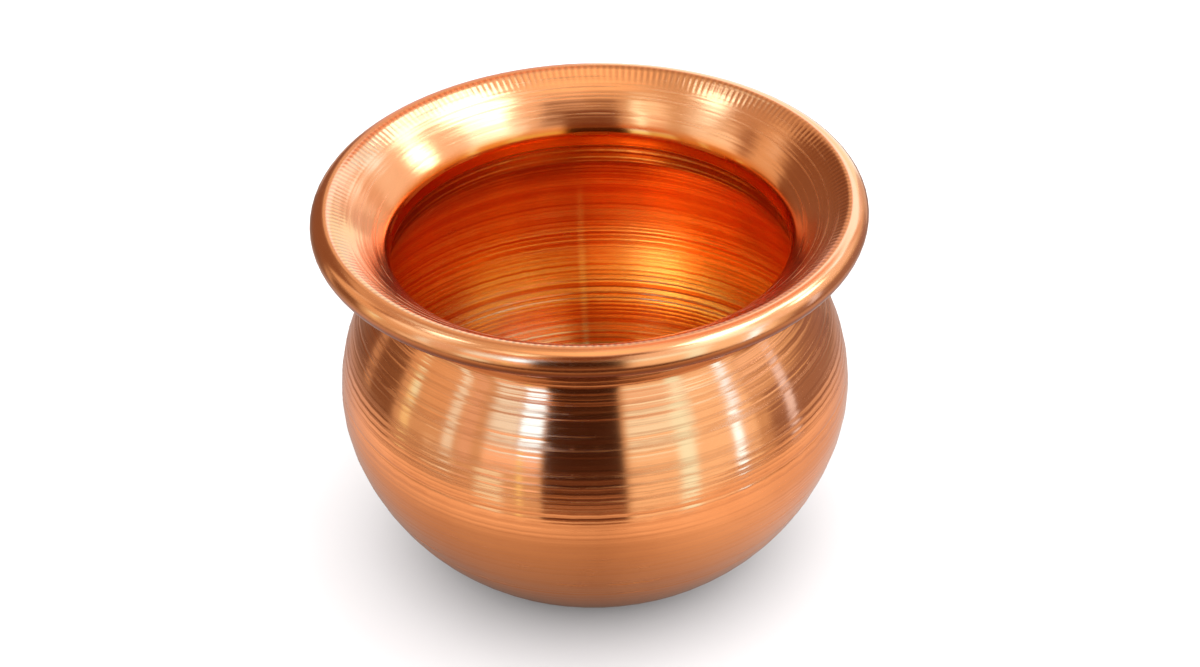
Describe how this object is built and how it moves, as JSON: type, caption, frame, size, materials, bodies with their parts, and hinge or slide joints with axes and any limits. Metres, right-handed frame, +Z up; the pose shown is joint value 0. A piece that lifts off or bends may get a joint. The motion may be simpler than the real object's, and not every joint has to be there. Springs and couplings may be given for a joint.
{
  "type": "copper lota",
  "caption": "Round-bellied copper water pot with a narrow throat and a wide flared mouth, its edge rolled over a wire, standing on a small flat base.",
  "frame": {"origin": "centre of the flat base, on the surface that the pot stands on", "axes": "+Z up along the pot's axis of revolution, towards the mouth; X and Y lie in the plane of the base"},
  "size_m": [0.1098, 0.1098, 0.081],
  "materials": {
    "bowl_copper": "copper, lathe-turned outside with fine rings and polished",
    "mouth_copper": "copper, lathe-turned and polished",
    "wire_copper": "drawn copper wire, dull",
    "braze_filler": "brazing filler as run"
  },
  "bodies": {
    "root": {"bowl": "bowl_copper", "flared_mouth": "mouth_copper", "rim_wire": "wire_copper", "neck_braze_ring": "braze_filler"}
  },
  "joints": []
}
